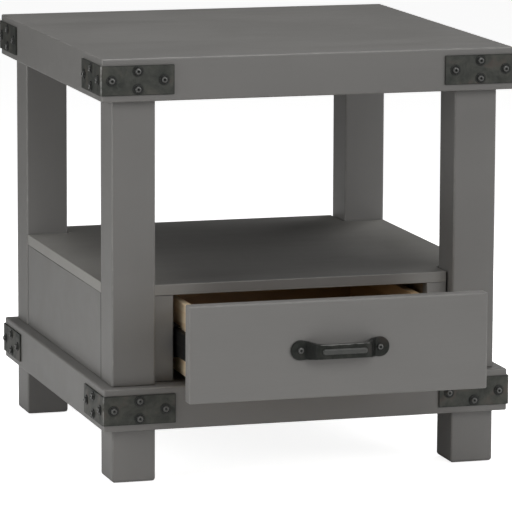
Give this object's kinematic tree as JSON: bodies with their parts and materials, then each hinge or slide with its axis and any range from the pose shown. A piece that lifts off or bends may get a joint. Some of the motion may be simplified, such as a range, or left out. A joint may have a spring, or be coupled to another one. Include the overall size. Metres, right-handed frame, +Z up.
{
  "type": "side table",
  "caption": "Square side table with thick top and base slabs, bracketed corners, square posts, an open shelf and a drawer with a strap pull.",
  "frame": {"origin": "on the floor, under the middle of the table", "axes": "+Z up, +Y to the back of the table, so the drawer opens along -Y; +X to the right as seen from the front"},
  "size_m": [0.623, 0.7863, 0.61],
  "materials": {
    "grey_paint": "satin warm grey paint over wood",
    "pine": "clear-lacquered pine",
    "plywood": "plywood with a sealed face",
    "bare_wood": "unpainted board inside the cabinet and the slabs",
    "bracket_iron": "blackened, slightly mottled iron plate",
    "black_screws": "blackened steel",
    "pull_iron": "blackened cast iron with a soft shine",
    "slide_steel": "black electrocoated sheet steel",
    "zinc_steel": "zinc-plated steel",
    "glide_plastic": "dark nylon"
  },
  "bodies": {
    "table": {"back_panel": "grey_paint", "base_bracket_back_left": "bracket_iron", "base_bracket_back_right": "bracket_iron", "base_bracket_front_left": "bracket_iron", "base_bracket_front_right": "bracket_iron", "base_panel": "grey_paint", "base_rail_back": "grey_paint", "base_rail_front": "grey_paint", "base_rail_left": "grey_paint", "base_rail_right": "grey_paint", "bracket_screws": "black_screws", "bracket_washers": "black_screws", "corner_blocks": "bare_wood", "corner_studs": "zinc_steel", "foot_back_left": "grey_paint", "foot_back_right": "grey_paint", "foot_front_left": "grey_paint", "foot_front_right": "grey_paint", "foot_glides": "glide_plastic", "partition_left": "bare_wood", "partition_right": "bare_wood", "post_back_left": "grey_paint", "post_back_right": "grey_paint", "post_front_left": "grey_paint", "post_front_right": "grey_paint", "shelf": "grey_paint", "side_panel_left": "grey_paint", "side_panel_right": "grey_paint", "slide_outer_left": "slide_steel", "slide_outer_right": "slide_steel", "slide_screws_cabinet": "zinc_steel", "stile_left": "grey_paint", "stile_right": "grey_paint", "top_bracket_back_left": "bracket_iron", "top_bracket_back_right": "bracket_iron", "top_bracket_front_left": "bracket_iron", "top_bracket_front_right": "bracket_iron", "top_panel": "grey_paint", "top_rail_back": "grey_paint", "top_rail_front": "grey_paint", "top_rail_left": "grey_paint", "top_rail_right": "grey_paint", "top_underside": "grey_paint"},
    "drawer": {"drawer_front": "grey_paint", "drawer_side_left": "pine", "drawer_side_right": "pine", "drawer_sub_front": "pine", "drawer_back": "pine", "drawer_bottom": "plywood", "handle_pull": "pull_iron", "handle_screws": "black_screws", "slide_inner_left": "slide_steel", "slide_inner_right": "slide_steel", "drawer_screws": "zinc_steel"},
    "middle_left": {"slide_middle_left": "slide_steel"},
    "middle_right": {"slide_middle_right": "slide_steel"},
    "cage_outer_left": {"ball_cage_outer_left": "zinc_steel"},
    "cage_outer_right": {"ball_cage_outer_right": "zinc_steel"},
    "cage_inner_left": {"ball_cage_inner_left": "zinc_steel"},
    "cage_inner_right": {"ball_cage_inner_right": "zinc_steel"}
  },
  "joints": [
    {"name": "drawer_slide", "type": "slide", "parent": "table", "child": "drawer", "axis": [0, -1, 0], "range_m": [-0.163, 0.28]},
    {"name": "middle_left_slide", "type": "slide", "parent": "table", "child": "middle_left", "axis": [0, -1, 0], "range_m": [-0.0815, 0.14]},
    {"name": "cage_outer_left_slide", "type": "slide", "parent": "table", "child": "cage_outer_left", "axis": [0, -1, 0], "range_m": [-0.04075, 0.07]},
    {"name": "cage_inner_left_slide", "type": "slide", "parent": "table", "child": "cage_inner_left", "axis": [0, -1, 0], "range_m": [-0.12225, 0.21]},
    {"name": "middle_right_slide", "type": "slide", "parent": "table", "child": "middle_right", "axis": [0, -1, 0], "range_m": [-0.0815, 0.14]},
    {"name": "cage_outer_right_slide", "type": "slide", "parent": "table", "child": "cage_outer_right", "axis": [0, -1, 0], "range_m": [-0.04075, 0.07]},
    {"name": "cage_inner_right_slide", "type": "slide", "parent": "table", "child": "cage_inner_right", "axis": [0, -1, 0], "range_m": [-0.12225, 0.21]}
  ],
  "couplings": [
    {"joint": "middle_left_slide", "follows": "drawer_slide", "ratio": 0.5},
    {"joint": "cage_outer_left_slide", "follows": "drawer_slide", "ratio": 0.25},
    {"joint": "cage_inner_left_slide", "follows": "drawer_slide", "ratio": 0.75},
    {"joint": "middle_right_slide", "follows": "drawer_slide", "ratio": 0.5},
    {"joint": "cage_outer_right_slide", "follows": "drawer_slide", "ratio": 0.25},
    {"joint": "cage_inner_right_slide", "follows": "drawer_slide", "ratio": 0.75}
  ]
}
